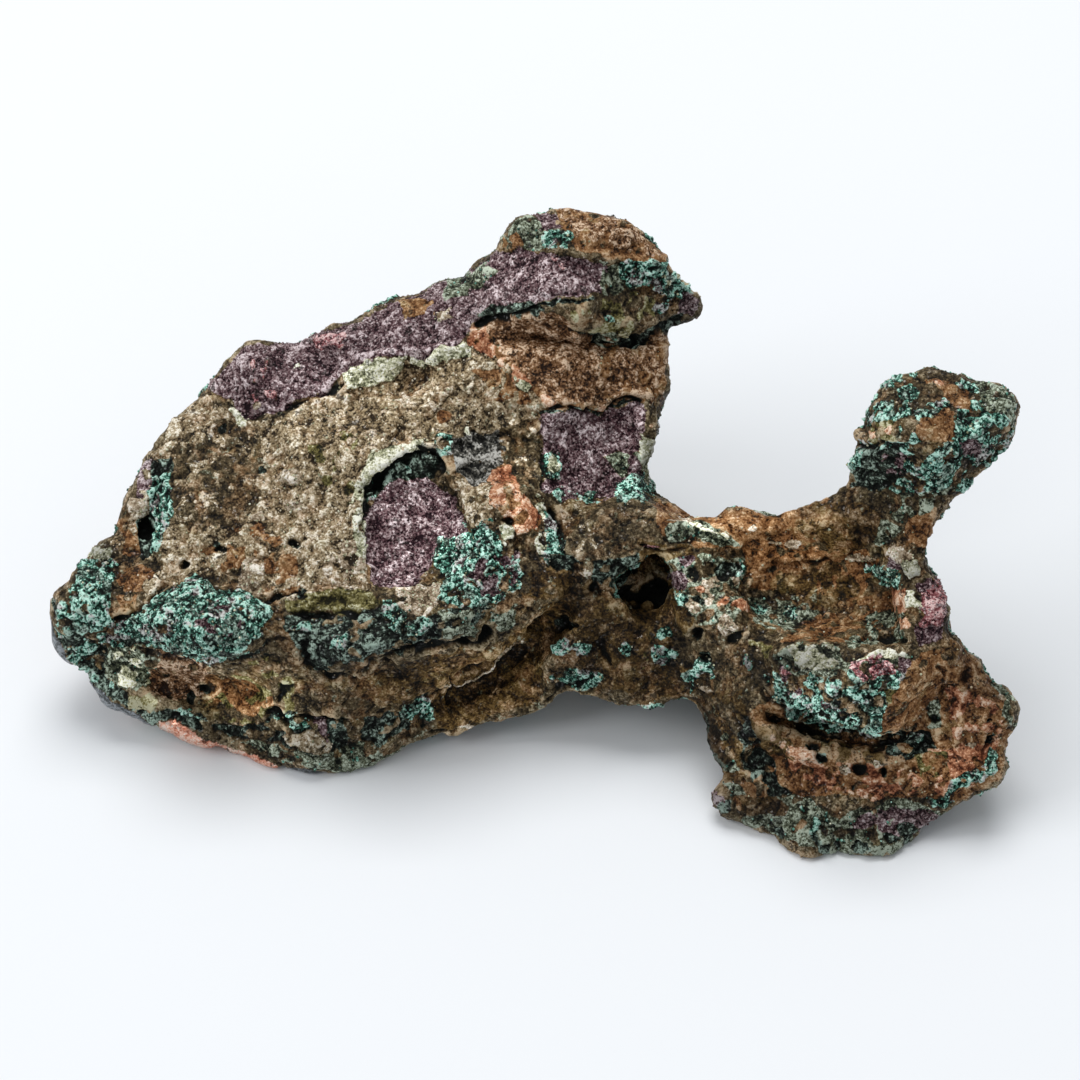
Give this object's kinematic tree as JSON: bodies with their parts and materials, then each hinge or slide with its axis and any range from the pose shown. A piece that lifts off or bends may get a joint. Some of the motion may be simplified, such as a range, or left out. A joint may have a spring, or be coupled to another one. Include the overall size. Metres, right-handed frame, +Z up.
{
  "type": "native copper nugget",
  "caption": "Hand-sized native copper nugget crusted with cuprite, malachite and sandstone: a tilted slab with a peak, a bridge, and a bowl-shaped lump with a knob.",
  "frame": {"origin": "middle of the outline, at the plane the nugget rests on", "axes": "+X along the long way towards the knob's end, +Y to the back, behind the peak, +Z up"},
  "size_m": [0.1046, 0.0618, 0.044],
  "materials": {
    "crust": "rough mineral crust, brown with dark red-purple and green patches"
  },
  "bodies": {
    "root": {"copper_nugget": "crust"}
  },
  "joints": []
}
